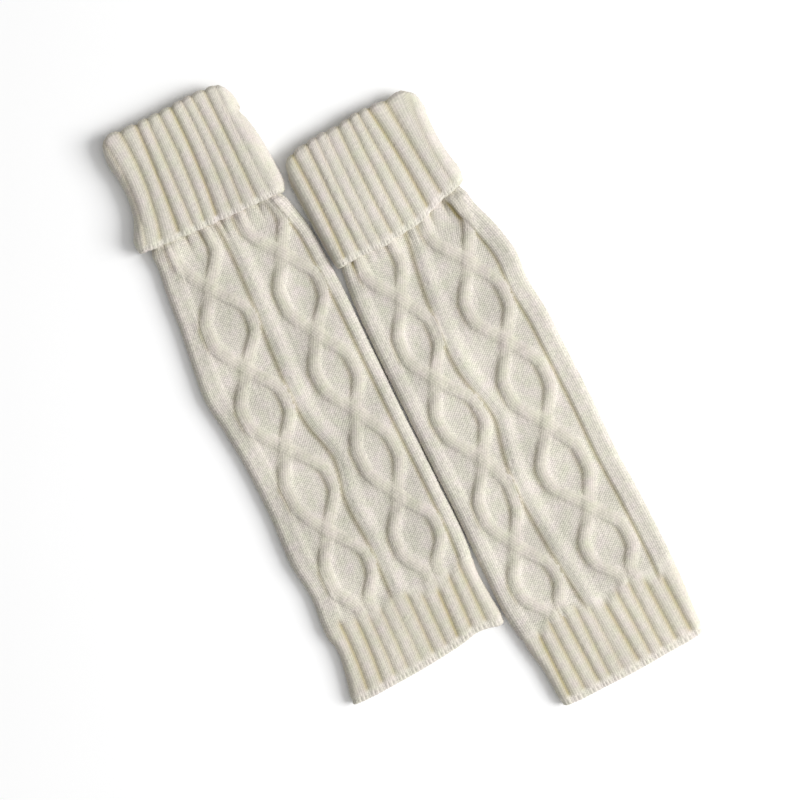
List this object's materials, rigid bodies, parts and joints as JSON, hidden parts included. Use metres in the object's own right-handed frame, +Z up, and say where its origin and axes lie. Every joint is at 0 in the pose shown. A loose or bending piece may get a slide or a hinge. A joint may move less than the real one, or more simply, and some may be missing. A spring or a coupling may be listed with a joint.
{
  "type": "pair of leg warmers",
  "caption": "Pair of cream cable-knit leg warmers lying flat side by side, with turned-down ribbed cuffs, crossing cable columns and ribbed hems.",
  "frame": {"origin": "middle of the pair's footprint on the surface it lies on", "axes": "+Y along the leg warmers towards the turned-down cuffs, +X to the right seen from above, +Z up out of the surface"},
  "size_m": [0.2288, 0.4638, 0.0141],
  "materials": {
    "cream_knit": "matt, softly fuzzy cream acrylic yarn, knitted in cables, purl ground and rib"
  },
  "bodies": {
    "root": {"left_turned_cuff": "cream_knit", "left_cabled_leg": "cream_knit", "left_ribbed_hem": "cream_knit", "right_turned_cuff": "cream_knit", "right_cabled_leg": "cream_knit", "right_ribbed_hem": "cream_knit"}
  },
  "joints": []
}
